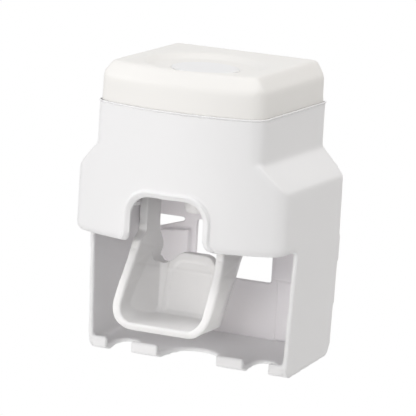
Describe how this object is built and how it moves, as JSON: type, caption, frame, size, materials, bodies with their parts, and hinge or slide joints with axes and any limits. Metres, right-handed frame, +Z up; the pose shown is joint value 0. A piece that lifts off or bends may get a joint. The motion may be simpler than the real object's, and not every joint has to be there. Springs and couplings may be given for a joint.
{
  "type": "toothpaste dispenser",
  "caption": "Wall-held toothpaste dispenser: pushing a toothbrush into a hinged scoop lever works a small pump; a slotted shelf holds toothbrushes by the neck.",
  "frame": {"origin": "middle of the wall face on the rear panel's back, 80 mm above the lowest edge", "axes": "+Y points into the wall, -Y is the front, +Z is up"},
  "size_m": [0.0974, 0.0754, 0.1304],
  "materials": {
    "housing_white": "fine satin moulding",
    "panel_white": "satin moulding",
    "lid_white": "satin moulding, slightly warmer white",
    "lever_white": "satin moulding",
    "inner_grey": "plain moulding",
    "silicone": "translucent grey silicone",
    "steel": "plain wire and pins",
    "foam_tape": "soft adhesive pad"
  },
  "bodies": {
    "dispenser": {"housing": "housing_white", "brush_shelf": "housing_white", "rear_panel": "panel_white", "bay_deck": "panel_white", "tube_socket": "panel_white", "neck_seal": "silicone", "pump_body": "inner_grey", "inlet_valve": "silicone", "bellows": "silicone", "guide_posts": "steel", "return_spring_front": "steel", "return_spring_rear": "steel", "pump_bridge": "inner_grey", "pivot_pins": "steel", "panel_screws": "steel", "bridge_screws": "steel", "wall_hooks": "inner_grey", "hook_tapes": "foam_tape"},
    "lever": {"lever": "lever_white"},
    "plunger": {"plunger": "inner_grey", "nozzle": "lever_white", "outlet_valve": "silicone"},
    "lid": {"lid": "lid_white"},
    "plug": {"well_plug": "housing_white"}
  },
  "joints": [
    {"name": "lever_pivot", "type": "hinge", "parent": "dispenser", "child": "lever", "pos_m": [0, -0.054, -0.002], "axis": [1, 0, 0], "range_deg": [0, 9], "stiffness_Nm_per_rad": 0.05, "springref_deg": -8.59},
    {"name": "plunger_lift", "type": "slide", "parent": "dispenser", "child": "plunger", "axis": [0, 0, 1], "range_m": [0, 0.00175], "stiffness_N_per_m": 4, "springref_m": -0.004, "deforming": ["bellows", "return_spring_front", "return_spring_rear"]},
    {"name": "lid_lift", "type": "slide", "parent": "dispenser", "child": "lid", "axis": [0, 0, 1], "range_m": [0, 0.04]},
    {"name": "plug_lift", "type": "slide", "parent": "lid", "child": "plug", "axis": [0, 0, 1], "range_m": [0, 0.03]}
  ],
  "couplings": [
    {"joint": "plunger_lift", "follows": "lever_pivot", "m_per_rad": 0.011}
  ]
}
